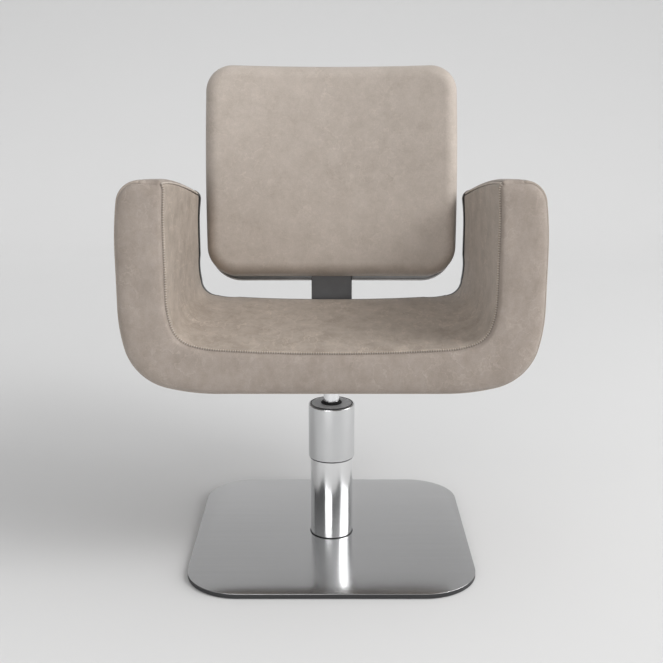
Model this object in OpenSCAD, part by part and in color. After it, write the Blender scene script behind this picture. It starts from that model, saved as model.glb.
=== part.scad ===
// Hydraulic styling chair: square floor plate, two-step column with a foot pump,
// U-shaped upholstered seat with arms, and a backrest on a steel spine.
// Millimetres. Origin on the floor on the column's axis, -Y is the chair's front.

/* [Base] */
// Width and depth of the floor plate
plate_w = 520; // [480:10:560]
// Corner radius of the floor plate
plate_corner = 98; // [80:2:110]
// Thickness of the steel floor plate
plate_t = 7.5; // [6:0.5:7.5]
// Radius of the lower column sleeve
lower_r = 40; // [39.5:0.1:40.5]
// Radius of the upper column sleeve
upper_r = 43.6; // [43:0.1:46]
// Height at which the two sleeves meet
joint_z = 167; // [150:1:190]
// Height of the column's top face
column_top = 272; // [268:1:276]

/* [Pump] */
// Radius of the chromed ram
ram_r = 15; // [14:0.1:15.5]
// Radius of the cylinder's bore
bore_r = 19; // [18.5:0.1:19.5]
// Distance from the column's axis to the pedal's pivot
pedal_pivot_y = 56; // [54:1:58]
// Height of the pedal's pivot
pedal_pivot_z = 38; // [36:1:40]
// Distance from the column's axis to the pedal's far end
pedal_reach = 232; // [180:1:240]

/* [Seat body] */
// Overall width over the arms
body_w = 694; // [660:2:720]
// Y of the seat body's front face
front_y = -250; // [-270:1:-240]
// Y of the seat body's rear face
rear_y = 240; // [230:1:240]
// Height of the underside
bottom_z = 367; // [366:1:368]
// Height of the seat at the middle of its front edge
seat_z = 435.5; // [430:0.5:445]
// Height of the arms at the front
arm_z = 721; // [710:1:740]
// Fall of the seat towards the rear, in degrees
seat_slope = 1.6; // [1:0.1:2]
// Fall of the arm tops towards the rear, in degrees
arm_slope = 8.9; // [7:0.1:9.5]
// Thickness of the leather
leather_t = 2; // [1.5:0.1:2]
// Thickness of the plywood
ply_t = 12; // [10:0.5:12]

/* [Backrest] */
// Half-width of the backrest across the widest part
back_half_w = 253; // [240:1:256]
// Height of the cushion along its own slope
back_h = 426; // [400:2:450]
// Lean of the backrest, in degrees
back_tilt = 10; // [9:0.5:11]
// Radius of the backrest's curve in plan
back_curve_r = 1050; // [900:10:1300]
// Width of the spine bar
spine_w = 84; // [70:1:84]
// Thickness of the spine bar
spine_t = 8; // [7:0.5:8]

/* [Hidden] */
$fn = 96;

pad_t = 1.5;
skin_t = 1;
plate_z = pad_t + plate_t;
floor_z = plate_z + skin_t;
sleeve_wall = 1.5;
fit = 0.05;
gap = 0.2;
under_skin = leather_t + gap;
seat_joint_z = 470;
rear_cover_d = 26;
plate_top = bottom_z - spine_t;
hub_plate_t = 6;
hub_top = plate_top - hub_plate_t;
hub_foot_z = 298;
foot_top = 70;
piston_h = 18;
washer_t = 2;
head_z = 236;
plunger_y = 27;
plunger_r = 4;
nose_r = 5;
shell_drop = 7.5;
shell_depth = 75;
bolt_r = 4;
hub_bolt_x = 25;
seat_bolt_x = 80;
seat_bolt_y = 100;
spine_bolt_x = 25;
spine_bolt_ys = [80, 118];
back_bolt_zs = [110, 250];
screw_xs = [-190, 190];
screw_zs = [60, 213, 366];

leather = "#ADA193";
steel = "#B9BBBD";
dark = "#2E2E30";
ply = "#C8A878";
foam = "#D9CC9A";

// ---- outlines ----

// Points of a chain of moves from point p with heading a. A move is [0, length]
// for a line or [radius, turn] for an arc, and a positive turn is to the left.
// inset shifts the whole chain to its left.
function trace(p, a, moves, inset = 0, i = 0) =
    i == len(moves) ? [p] :
    moves[i][0] == 0 ?
        concat([p], trace(p + moves[i][1] * [cos(a), sin(a)], a, moves, inset, i + 1)) :
    let (turn = moves[i][1], side = sign(turn), r = moves[i][0] - side * inset,
        c = p + side * r * [-sin(a), cos(a)], steps = ceil(abs(turn) / 9) + 2)
        concat([for (k = [0 : steps - 1])
                c + side * r * [sin(a + turn * k / steps), -cos(a + turn * k / steps)]],
            trace(c + side * r * [sin(a + turn), -cos(a + turn)], a + turn, moves, inset, i + 1));

// Where such a chain ends, counted from its start.
function travel(a, moves, i = 0) =
    i == len(moves) ? [0, 0] :
    moves[i][0] == 0 ?
        moves[i][1] * [cos(a), sin(a)] + travel(a, moves, i + 1) :
    let (b = a + moves[i][1])
        sign(moves[i][1]) * moves[i][0] * [sin(b) - sin(a), cos(a) - cos(b)]
            + travel(b, moves, i + 1);

// A chain and its mirror image across x = 0 as one closed outline.
function mirrored(pts) = concat(pts, [for (i = [len(pts) - 1 : -1 : 0]) [-pts[i][0], pts[i][1]]]);

// Lower corner of the seat body: from the flat underside to its upright side.
corner_moves = [[350, 14], [92, 62], [280, 14]];
flat_half = body_w / 2 - travel(0, corner_moves)[0];
corner_x = flat_half + 5;
outer_moves = concat([[0, flat_half]], corner_moves, [[0, 400]]);
// Seat surface and corner fillet, up to the arm's upright inner side.
seat_moves = [[3000, 3.65], [150, 16.35], [46, 52], [160, 18]];
inner_moves = concat(seat_moves, [[0, 400]]);
inner_x = travel(0, seat_moves)[0];
// Section of an arm, from its outer side over the top to its inner side.
arm_over = [[600, 8], [43.56, 82]];
arm_inside = [[13, 98], [400, -8]];
arm_drop = 150;
arm_rise = travel(90, arm_over);
hair = 0.05;
arm_flat = body_w / 2 + arm_rise[0] + travel(180, arm_inside)[0] - inner_x + 2 * hair;
arm_moves = concat(arm_over, [[0, arm_flat]], arm_inside);
// Half outline of the backrest.
back_bottom_r = 65;
back_top_r = 55;
back_side_r = 6000;
side_turn = 2 * asin((back_h - back_bottom_r - back_top_r) / 2 / back_side_r);
back_turn = 90 - side_turn / 2;
back_side = [[back_bottom_r, back_turn], [back_side_r, side_turn / 2]];
back_moves = [[0, back_half_w - travel(0, back_side)[0]], [back_bottom_r, back_turn],
    [back_side_r, side_turn], [back_top_r, back_turn]];

module along_y(y0, y1) {
    translate([0, y1, 0])
        rotate([90, 0, 0])
            linear_extrude(y1 - y0)
                children();
}

// A section at the front edge at height z, drawn along a line that falls to the rear.
module falling(z, angle) {
    translate([0, front_y, z])
        rotate([-angle, 0, 0])
            along_y(-60, 600)
                children();
}

module y_slab(y0, y1) {
    translate([-500, y0, 0])
        cube([1000, y1 - y0, 1000]);
}

module outer_outline(inset) {
    polygon(mirrored(trace([0, bottom_z + inset], 0, outer_moves, inset)));
}

module inner_void(grow) {
    falling(seat_z - grow, seat_slope)
        polygon(mirrored(trace([0, 0], 0, inner_moves, -grow)));
}

// The section starts and ends a hair outside the arm's upright sides and spreads below,
// so that it cuts those sides and never runs along them.
module arm_section(inset) {
    spread = 3;
    x0 = body_w / 2 - inset + hair;
    polygon(concat([[x0 + spread, -arm_drop - 10]],
        trace([x0, -arm_rise[1]], 90, arm_moves, inset),
        [[inner_x + inset - spread, -arm_drop - 10]]));
}

// The whole U-shaped body, shrunk by inset on every face.
module body_form(inset) {
    difference() {
        along_y(front_y + inset, rear_y - inset)
            outer_outline(inset);
        inner_void(inset);
        falling(arm_z, arm_slope)
            difference() {
                translate([-500, -arm_drop])
                    square([1000, 500]);
                arm_section(inset);
                mirror([1, 0])
                    arm_section(inset);
            }
    }
}

// What lies between x0 and x1 above a plane that runs depth below the arm tops.
module above_arm_line(depth, x0, x1) {
    for (s = [0, 1])
        mirror([s, 0, 0])
            falling(arm_z, arm_slope)
                translate([x0, -depth])
                    square([x1 - x0, 200]);
}

module side_box(x0, x1, z0, z1) {
    translate([x0, -500, z0])
        cube([x1 - x0, 1000, z1 - z0]);
}

module at_corners(x, y, z) {
    for (sx = [-1, 1], sy = [-1, 1])
        translate([sx * x, sy * y, z])
            children();
}

// A cap bolt, head at the origin and below it, shank upwards.
module bolt(r, length, head_r, head_h) {
    cylinder(r = r, h = length);
    translate([0, 0, -head_h])
        difference() {
            cylinder(r = head_r, h = head_h);
            translate([0, 0, -1])
                cylinder(r = head_r * 0.5, h = head_h * 0.5 + 1, $fn = 6);
        }
}

// ---- base ----

module plate_outline(inset = 0) {
    reach = plate_w / 2 - plate_corner;
    for (sx = [-1, 1], sy = [-1, 1])
        translate([sx * reach, sy * reach])
            circle(r = plate_corner - inset);
    square([2 * reach, plate_w - 2 * inset], center = true);
    square([plate_w - 2 * inset, 2 * reach], center = true);
}

module base_pads() {
    color(dark) {
        cylinder(r = 46, h = pad_t);
        at_corners(175, 175, 0)
            cylinder(r = 28, h = pad_t);
    }
}

module base_plate() {
    color(dark)
        difference() {
            translate([0, 0, pad_t])
                linear_extrude(plate_t)
                    plate_outline();
            at_corners(19, 19, 0) {
                cylinder(r = bolt_r + 0.3, h = 20);
                translate([0, 0, pad_t - 1])
                    cylinder(r = 7.2, h = 5.2);
            }
        }
}

module base_skin() {
    color(steel)
        difference() {
            translate([0, 0, plate_z])
                linear_extrude(skin_t)
                    plate_outline();
            cylinder(r = 36.2, h = 20);
        }
}

module base_bolts() {
    color(steel)
        at_corners(19, 19, pad_t + 4.2)
            bolt(bolt_r, 20, 6.5, 4);
}

// ---- column and pump ----

module pump_foot() {
    color("dimgray")
        difference() {
            union() {
                translate([0, 0, plate_z])
                    cylinder(r = 36, h = foot_top - plate_z);
                translate([-20, 0, 24])
                    cube([40, pedal_pivot_y + 9, 26]);
            }
            // oil well under the cylinder
            translate([0, 0, 46])
                cylinder(r = 14, h = 40);
            // slot for the lever's nose
            translate([-12, 15, 20])
                cube([24, 60, 31]);
            translate([0, plunger_y, 30])
                cylinder(r = plunger_r + fit, h = 60);
            translate([-30, pedal_pivot_y, pedal_pivot_z])
                rotate([0, 90, 0])
                    cylinder(r = 4, h = 60);
            at_corners(19, 19, 0)
                cylinder(r = bolt_r, h = pad_t + 24.2);
        }
}

module ring(r_in, r_out, z0, z1) {
    difference() {
        translate([0, 0, z0])
            cylinder(r = r_out, h = z1 - z0);
        translate([0, 0, z0 - 1])
            cylinder(r = r_in, h = z1 - z0 + 2);
    }
}

module cylinder_tube() {
    color(steel)
        ring(bore_r, bore_r + 3, foot_top, head_z);
}

module reservoir_tube() {
    color("dimgray")
        ring(32.5, 35.5, foot_top, head_z);
}

module pump_head() {
    color("dimgray")
        ring(ram_r + 4, 37.5, head_z, 258);
}

module guide_bush() {
    color("goldenrod")
        ring(ram_r + fit, ram_r + 4, head_z, 254);
}

module rod_seal() {
    color(dark)
        ring(ram_r + fit, ram_r + 4, 254, 258);
}

module rod_wiper() {
    color(dark)
        union() {
            ring(ram_r + fit, ram_r + 1.6, column_top - 6, column_top + 5);
            ring(ram_r + fit, ram_r + 4.5, column_top, column_top + 2);
        }
}

module top_cap() {
    color(steel)
        ring(ram_r + 1.6, upper_r - 5.5, column_top - 3, column_top);
}

module cap_ring() {
    color(dark)
        ring(upper_r - 5.5, upper_r - 3.5, column_top - 5, column_top);
}

// Drawn tube whose top edge is turned inwards over a radius.
module upper_sleeve() {
    edge_r = 3.5;
    color(steel)
        rotate_extrude()
            difference() {
                union() {
                    translate([upper_r - sleeve_wall, joint_z])
                        square([sleeve_wall, column_top - joint_z - edge_r]);
                    translate([upper_r - edge_r, column_top - edge_r])
                        intersection() {
                            circle(r = edge_r);
                            square([edge_r, edge_r]);
                        }
                }
                translate([upper_r - edge_r, column_top - edge_r - 1])
                    square([edge_r - sleeve_wall, 1 + edge_r - sleeve_wall]);
            }
}

module sleeve_ring() {
    color(dark)
        ring(lower_r - 1.5, upper_r - 0.6, joint_z - 2, joint_z);
}

module lower_sleeve() {
    color(steel)
        difference() {
            ring(lower_r - sleeve_wall, lower_r, floor_z, joint_z - 2);
            translate([-21, 20, floor_z - 1])
                cube([42, 40, 61]);
        }
}

module foot_gasket() {
    color(dark)
        difference() {
            ring(lower_r, lower_r + 2, floor_z, floor_z + 2);
            translate([-21, 20, floor_z - 1])
                cube([42, 40, 5]);
        }
}

module pivot_pin() {
    color(steel)
        translate([-22, pedal_pivot_y, pedal_pivot_z])
            rotate([0, 90, 0]) {
                cylinder(r = 4, h = 44);
                translate([0, 0, 44])
                    cylinder(r = 6, h = 2);
            }
}

// ---- pedal ----

module lever_side() {
    rise = 14;
    polygon([[plunger_y - 3, -8], [pedal_pivot_y + 8, -7], [pedal_pivot_y + 60, rise - 5],
        [pedal_reach, rise + 6], [pedal_reach, rise + 12], [pedal_pivot_y + 56, rise + 5],
        [pedal_pivot_y + 4, 6], [pedal_pivot_y - 8, 6], [plunger_y + 8, 0], [plunger_y - 3, -1]]);
}

module across_x(half) {
    rotate([90, 0, 90])
        translate([0, 0, -half])
            linear_extrude(2 * half)
                children();
}

module pedal_lever() {
    color(steel)
        difference() {
            union() {
                translate([0, 0, pedal_pivot_z])
                    across_x(8)
                        lever_side();
                translate([-9.5, pedal_pivot_y, pedal_pivot_z])
                    rotate([0, 90, 0])
                        cylinder(r = 8.5, h = 19);
            }
            translate([-30, pedal_pivot_y, pedal_pivot_z])
                rotate([0, 90, 0])
                    cylinder(r = 4 + fit, h = 60);
            // fork for the roller
            translate([-4.5, plunger_y - 6, pedal_pivot_z - 10])
                cube([9, 12.5, 20]);
            translate([-10, plunger_y, pedal_pivot_z - 3.5])
                rotate([0, 90, 0])
                    cylinder(r = 2, h = 20);
        }
}

module pedal_pad() {
    color(dark)
        translate([0, pedal_reach - 32, pedal_pivot_z + 24])
            difference() {
                linear_extrude(12)
                    intersection() {
                        square([62, 54], center = true);
                        circle(r = 36);
                    }
                translate([-8, -40, -7.7])
                    rotate([3.4, 0, 0])
                        cube([16, 90, 5.5]);
            }
}

module nose_roller() {
    color(steel)
        translate([-4, plunger_y, pedal_pivot_z - 3.5])
            rotate([0, 90, 0])
                difference() {
                    cylinder(r = nose_r, h = 8);
                    translate([0, 0, -1])
                        cylinder(r = 2, h = 10);
                }
}

module roller_pin() {
    color(steel)
        translate([-8, plunger_y, pedal_pivot_z - 3.5])
            rotate([0, 90, 0])
                cylinder(r = 2, h = 16);
}

module pump_plunger() {
    color(steel)
        translate([0, plunger_y, pedal_pivot_z - 3.5 + nose_r + 0.3]) {
            cylinder(r = 7, h = 1.5);
            cylinder(r = plunger_r, h = 48);
        }
}

// Light coil between the plunger's collar and the slot's roof, as one sleeve.
module plunger_spring() {
    z0 = pedal_pivot_z + nose_r - 1.5;
    color(steel)
        translate([0, plunger_y, 0])
            ring(plunger_r + 0.6, plunger_r + 2.1, z0, 51);
}

// ---- lift ----

washer_z = foot_top + 0.3 + piston_h;

module piston_head() {
    color(steel)
        difference() {
            translate([0, 0, foot_top + 0.3])
                cylinder(r = bore_r - fit, h = piston_h);
            ring(bore_r - 3, bore_r + 2, foot_top + 6, foot_top + 12);
            translate([0, 0, foot_top + 5])
                cylinder(r = 10, h = 40);
        }
}

module piston_seal() {
    color(dark)
        ring(bore_r - 3, bore_r - 0.02, foot_top + 6, foot_top + 12);
}

module thrust_washer() {
    color("goldenrod")
        ring(10 + fit, 18, washer_z, washer_z + washer_t);
}

// ---- seat frame ----

module ram() {
    z0 = washer_z + washer_t + 0.1;
    spigot = 15;
    color("silver") {
        translate([0, 0, z0])
            cylinder(r = ram_r, h = hub_top - 3 - z0);
        translate([0, 0, z0 - spigot])
            cylinder(r = 10 - fit, h = spigot);
    }
}

module seat_hub() {
    color("dimgray")
        difference() {
            rotate_extrude()
                polygon([[0, hub_foot_z], [23, hub_foot_z], [25, hub_foot_z + 2],
                    [26, hub_top - 22], [34, hub_top - 9], [48, hub_top - 7], [48, hub_top],
                    [0, hub_top]]);
            translate([0, 0, hub_foot_z - 1])
                cylinder(r = ram_r, h = hub_top - 3 - hub_foot_z + 1);
            at_corners(hub_bolt_x, hub_bolt_x, hub_top - 30)
                cylinder(r = bolt_r, h = 40);
        }
}

module hub_bolts() {
    color(steel)
        at_corners(hub_bolt_x, hub_bolt_x, plate_top)
            mirror([0, 0, 1])
                bolt(bolt_r, 16, 7, 5);
}

module seat_plate() {
    color(dark)
        difference() {
            translate([-120, -130, hub_top])
                cube([240, 270, hub_plate_t]);
            at_corners(hub_bolt_x, hub_bolt_x, hub_top - 1)
                cylinder(r = bolt_r, h = 20);
            at_corners(seat_bolt_x, seat_bolt_y, hub_top - 1)
                cylinder(r = bolt_r, h = 20);
            for (y = spine_bolt_ys, s = [-1, 1])
                translate([s * spine_bolt_x, y, hub_top - 1])
                    cylinder(r = bolt_r, h = 20);
        }
}

module packer_bars() {
    color(ply)
        difference() {
            for (s = [-1, 1])
                translate([s * seat_bolt_x - 20, -130, plate_top])
                    cube([40, 260, spine_t]);
            at_corners(seat_bolt_x, seat_bolt_y, plate_top - 1)
                cylinder(r = bolt_r, h = 20);
        }
}

module seat_bolts() {
    color(steel)
        at_corners(seat_bolt_x, seat_bolt_y, hub_top)
            bolt(bolt_r, bottom_z + under_skin + ply_t - hub_top, 7, 5);
}

module spine_bolts() {
    color(steel)
        for (y = spine_bolt_ys, s = [-1, 1])
            translate([s * spine_bolt_x, y, hub_top])
                bolt(bolt_r, bottom_z + under_skin + ply_t - hub_top, 7, 5);
}

// Local frame of the backrest: origin at the middle of the cushion's lower front edge,
// z up its slope, y out of its rear.
back_y = 216;
back_z = 470.6;
spine_front = 58;
bend_r = 18;
// Distance down the slope from the local origin to the spine's bend, and the bend's centre.
bend_drop = (back_z - spine_front * sin(back_tilt) - bottom_z - bend_r
    + bend_r * sin(back_tilt)) / cos(back_tilt);
bend_y = back_y + spine_front * cos(back_tilt) - bend_drop * sin(back_tilt)
    - bend_r * cos(back_tilt);

module in_back() {
    translate([0, back_y, back_z])
        rotate([-back_tilt, 0, 0])
            children();
}

module spine() {
    top = 330;
    color("#4A4A4C")
        difference() {
            union() {
                translate([-spine_w / 2, 62, plate_top])
                    cube([spine_w, bend_y - 62, spine_t]);
                translate([-spine_w / 2, bend_y, bottom_z + bend_r])
                    rotate([90, 0, 90])
                        rotate([0, 0, -90])
                            rotate_extrude(angle = 90 - back_tilt)
                                translate([bend_r, 0])
                                    square([spine_t, spine_w]);
                in_back()
                    translate([-spine_w / 2, spine_front, -bend_drop])
                        cube([spine_w, spine_t, bend_drop + top]);
            }
            for (y = spine_bolt_ys, s = [-1, 1])
                translate([s * spine_bolt_x, y, plate_top - 1])
                    cylinder(r = bolt_r, h = 20);
            in_back()
                for (z = back_bolt_zs, s = [-1, 1])
                    translate([s * spine_bolt_x, 80, z])
                        rotate([90, 0, 0])
                            cylinder(r = bolt_r, h = 40);
        }
}

module seat_board() {
    z0 = bottom_z + under_skin;
    color(ply)
        difference() {
            translate([-flat_half, front_y + 8, z0])
                cube([2 * flat_half, rear_y - front_y - 16, ply_t]);
            at_corners(seat_bolt_x, seat_bolt_y, z0 - 1)
                cylinder(r = bolt_r, h = 30);
            for (y = spine_bolt_ys, s = [-1, 1])
                translate([s * spine_bolt_x, y, z0 - 1])
                    cylinder(r = bolt_r, h = 30);
        }
}

// Bent plywood corner, between the seat board and an arm board.
module corner_board_right() {
    color(ply)
        intersection() {
            difference() {
                along_y(front_y + 8, rear_y - 8)
                    outer_outline(under_skin);
                along_y(front_y, rear_y)
                    outer_outline(under_skin + ply_t);
            }
            side_box(flat_half, 500, 0, seat_joint_z);
        }
}

module corner_board_left() {
    mirror([1, 0, 0])
        corner_board_right();
}

arm_board_x = body_w / 2 - under_skin - ply_t;

module arm_board_right() {
    color(ply)
        intersection() {
            body_form(under_skin);
            side_box(arm_board_x, 500, seat_joint_z, 900);
            y_slab(front_y + 8, rear_y - 8);
        }
}

module arm_board_left() {
    mirror([1, 0, 0])
        arm_board_right();
}

// ---- foam ----

module seat_foam() {
    z0 = bottom_z + under_skin + ply_t + gap;
    color(foam)
        intersection() {
            body_form(under_skin);
            side_box(-corner_x, corner_x, z0, 600);
        }
}

module corner_foam_right() {
    color(foam)
        intersection() {
            difference() {
                body_form(under_skin);
                along_y(front_y + 7.8, rear_y - 7.8)
                    outer_outline(under_skin);
            }
            side_box(corner_x, 500, 0, seat_joint_z);
        }
    color(foam)
        intersection() {
            body_form(under_skin);
            along_y(front_y, rear_y)
                outer_outline(under_skin + ply_t + gap);
            side_box(corner_x, 500, 0, seat_joint_z);
        }
}

module corner_foam_left() {
    mirror([1, 0, 0])
        corner_foam_right();
}

module arm_foam_right() {
    color(foam)
        difference() {
            intersection() {
                body_form(under_skin);
                side_box(100, 500, seat_joint_z, 900);
            }
            translate([arm_board_x - gap, front_y + 7.8, 0])
                cube([100, rear_y - front_y - 15.6, 900]);
        }
}

module arm_foam_left() {
    mirror([1, 0, 0])
        arm_foam_right();
}

// ---- upholstery ----

// The band's edges: depth below the arm tops on the inner side, and where the flat of
// the tops ends on the outer side.
band_inner = 14.8;
band_outer = body_w / 2 + arm_rise[0] - 1;
cover_end = rear_y - rear_cover_d;

module skin() {
    difference() {
        body_form(0);
        body_form(leather_t);
    }
}

module band_zone() {
    y_slab(front_y - 1, front_y + leather_t);
    above_arm_line(band_inner, 240, band_outer);
}

module bolt_clearance() {
    at_corners(seat_bolt_x, seat_bolt_y, bottom_z - 1)
        cylinder(r = bolt_r + 0.5, h = 4);
    for (y = spine_bolt_ys, s = [-1, 1])
        translate([s * spine_bolt_x, y, bottom_z - 1])
            cylinder(r = bolt_r + 0.5, h = 4);
}

module inner_cover() {
    color(leather)
        difference() {
            intersection() {
                skin();
                inner_void(leather_t + 0.05);
                y_slab(front_y, cover_end);
            }
            band_zone();
        }
}

module trim_band() {
    color(leather)
        intersection() {
            skin();
            band_zone();
            y_slab(front_y - 1, cover_end);
        }
}

module outer_cover() {
    color(leather)
        difference() {
            intersection() {
                skin();
                y_slab(front_y, cover_end);
            }
            inner_void(leather_t + 0.05);
            band_zone();
            bolt_clearance();
        }
}

module rear_cover() {
    color(dark)
        intersection() {
            skin();
            y_slab(cover_end, rear_y + 1);
        }
}

// ---- backrest ----

module back_outline(inset = 0, drop = 0) {
    for (z = drop == 0 ? [0] : [0, -drop])
        translate([0, z])
            polygon(mirrored(trace([0, inset], 0, back_moves, inset)));
}

// Part of the backrest between two depths behind its curved front face.
module back_layer(t0, t1, inset = 0, drop = 0) {
    intersection() {
        along_y(-60, 140)
            back_outline(inset, drop);
        translate([0, -back_curve_r, -40])
            difference() {
                cylinder(r = back_curve_r + t1, h = back_h + 80, $fn = 360);
                translate([0, 0, -1])
                    cylinder(r = back_curve_r + t0, h = back_h + 82, $fn = 360);
            }
    }
}

board_front = spine_front - 1.6 - ply_t;

module back_bolt_holes(r) {
    for (z = back_bolt_zs, s = [-1, 1])
        translate([s * spine_bolt_x, 90, z])
            rotate([90, 0, 0])
                cylinder(r = r, h = 50);
}

module screw_places() {
    for (x = screw_xs, z = screw_zs)
        translate([x, sqrt(back_curve_r * back_curve_r - x * x) - back_curve_r, z])
            rotate([-90, 0, 0])
                children();
}

module back_board() {
    color(ply)
        in_back()
            difference() {
                back_layer(board_front, board_front + ply_t, under_skin);
                back_bolt_holes(bolt_r);
                screw_places()
                    translate([0, 0, board_front + 2])
                        cylinder(r = 1.8, h = 30);
            }
}

module back_foam() {
    color(foam)
        in_back()
            back_layer(under_skin, board_front - gap, under_skin);
}

module back_cover() {
    color(leather)
        in_back()
            difference() {
                back_layer(0, board_front + ply_t);
                back_layer(leather_t, board_front + ply_t + 5, leather_t);
            }
}

module back_shell() {
    wall = 3;
    color("#3A3A3C")
        in_back()
            difference() {
                union() {
                    difference() {
                        back_layer(board_front + ply_t + gap, shell_depth, 0, shell_drop);
                        back_layer(0, shell_depth - wall, wall, shell_drop);
                    }
                    intersection() {
                        screw_places()
                            cylinder(r = 7, h = shell_depth - 1);
                        back_layer(board_front + ply_t + gap, shell_depth - 1, 0);
                    }
                }
                // notch for the spine
                translate([-spine_w / 2 - 1.5, 20, -20])
                    cube([spine_w + 3, spine_front + spine_t + 1.5 - 20, 40]);
                screw_places() {
                    translate([0, 0, board_front])
                        cylinder(r = 2.1, h = 60);
                    translate([0, 0, shell_depth - 1.5])
                        cylinder(r = 4.6, h = 10);
                }
            }
}

module back_bolts() {
    color(steel)
        in_back()
            for (z = back_bolt_zs, s = [-1, 1])
                translate([s * spine_bolt_x, spine_front + spine_t, z])
                    rotate([90, 0, 0])
                        bolt(bolt_r, spine_t + 1 + ply_t, 7, 4);
}

module shell_screws() {
    color(dark)
        in_back()
            screw_places()
                translate([0, 0, shell_depth - 1.5])
                    mirror([0, 0, 1]) {
                        cylinder(r = 1.8, h = shell_depth - 1.5 - board_front - 3);
                        translate([0, 0, -1.5])
                            cylinder(r = 4.4, h = 1.5);
                    }
}

base_pads();
base_plate();
base_skin();
base_bolts();
pump_foot();
cylinder_tube();
reservoir_tube();
pump_head();
guide_bush();
rod_seal();
rod_wiper();
top_cap();
cap_ring();
upper_sleeve();
sleeve_ring();
lower_sleeve();
foot_gasket();
pivot_pin();
pedal_lever();
pedal_pad();
nose_roller();
roller_pin();
pump_plunger();
plunger_spring();
piston_head();
piston_seal();
thrust_washer();
ram();
seat_hub();
hub_bolts();
seat_plate();
packer_bars();
seat_bolts();
spine();
spine_bolts();
seat_board();
corner_board_left();
corner_board_right();
arm_board_left();
arm_board_right();
seat_foam();
corner_foam_left();
corner_foam_right();
arm_foam_left();
arm_foam_right();
inner_cover();
trim_band();
outer_cover();
rear_cover();
back_board();
back_foam();
back_cover();
back_shell();
back_bolts();
shell_screws();
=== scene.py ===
import math

import bmesh
import bpy
import numpy as np
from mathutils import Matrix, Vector, noise


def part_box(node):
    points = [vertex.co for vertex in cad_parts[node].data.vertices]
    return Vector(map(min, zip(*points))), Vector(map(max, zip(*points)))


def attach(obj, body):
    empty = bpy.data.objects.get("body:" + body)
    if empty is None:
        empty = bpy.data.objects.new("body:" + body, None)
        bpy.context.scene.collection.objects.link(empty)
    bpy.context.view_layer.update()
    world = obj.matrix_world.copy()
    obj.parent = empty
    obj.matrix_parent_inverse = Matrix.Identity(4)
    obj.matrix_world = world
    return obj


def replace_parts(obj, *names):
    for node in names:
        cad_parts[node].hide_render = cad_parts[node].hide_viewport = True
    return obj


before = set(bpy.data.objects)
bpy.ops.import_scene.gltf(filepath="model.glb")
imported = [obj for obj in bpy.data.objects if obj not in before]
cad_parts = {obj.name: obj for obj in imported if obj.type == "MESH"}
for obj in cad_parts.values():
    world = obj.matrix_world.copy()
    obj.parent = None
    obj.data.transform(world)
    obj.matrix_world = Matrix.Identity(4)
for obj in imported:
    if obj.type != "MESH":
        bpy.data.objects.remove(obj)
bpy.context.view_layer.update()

# ---- sizes, in metres, from the frame ----

body_low, body_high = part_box("outer_cover")
HALF_W = body_high.x
BOTTOM = body_low.z
FRONT = body_low.y
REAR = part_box("rear_cover")[1].y
BAND_RIDGES = 0.0028        # height of the ridges over the leather of the arms' tops
ARM_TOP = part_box("trim_band")[1].z - BAND_RIDGES
COVER_DEPTH = body_high.y - FRONT
FULL_DEPTH = REAR - FRONT
SEAT_SLOPE = math.radians(1.6)
ARM_SLOPE = math.radians(8.9)
SEAT_RISE = 0.0685          # seat surface over the underside, at the front

# Chains of moves: (0, length) is a line and (radius, degrees) an arc, left turns positive.
CORNER = [(0.350, 14), (0.092, 62), (0.280, 14)]
SEAT = [(3.000, 3.65), (0.150, 16.35), (0.046, 52), (0.160, 18)]
ARM_OUTSIDE = [(0.600, 8), (0.038, 82)]
ARM_INSIDE = [(0.013, 98), (0.400, -8)]
ARM_CROWN = 0.0072          # how far the arms' tops arch over their slope
REAR_SINK = 0.0040          # how far the arms' inner faces draw back towards the rear
REAR_TUCK = 0.0110          # how far the seat's corners tighten towards the rear
SEAM_TURN = 52              # where round the arm's inner top edge the seam runs, in degrees
LOW_STEPS = [42, 18, 24, 14]    # steps along the seat or the underside, and round the corner

LEATHER_T = 0.0012
EDGE = 0.0022               # the seat leather's front edge: its radius and how far it rises
OUTER_EDGE = 0.0045         # radius of the front edge where the outer seam meets the arm's top
REAR_EDGE = 0.0045          # radius of the black cover's rear edge
WRAP_RISE = 0.0012          # how proud the black cover stands
TOP_SWELL = 0.0012          # how far the leather of the arms' tops swells between its seams
FRONT_SWELL = 0.0085        # and that of the front
SEAM_WIDTH = 0.0019
SEAM_DEPTH = 0.0022
OUTER_SEAM = 0.35           # depth of the outer seam's groove, as a share of the inner one's
REAR_SEAM = 0.5             # and of the seam where the leather meets the black cover
STITCH_PITCH = 0.0040
STITCH_RISE = 0.0012
CORD_R = 0.0010


# ---- outlines ----

def advance(x, z, a, radius, amount, inset=0.0):
    """Place and heading at the end of one move, on a path inset to the left of it."""
    if radius == 0:
        return x + amount * math.cos(a), z + amount * math.sin(a), a
    b, side = a + math.radians(amount), math.copysign(radius, amount) - inset
    return x + side * (math.sin(b) - math.sin(a)), z + side * (math.cos(a) - math.cos(b)), b


def travel(heading, moves):
    """Where a chain of moves ends, counted from its start."""
    x, z, a = 0.0, 0.0, math.radians(heading)
    for radius, amount in moves:
        x, z, a = advance(x, z, a, radius, amount)
    return x, z


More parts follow.
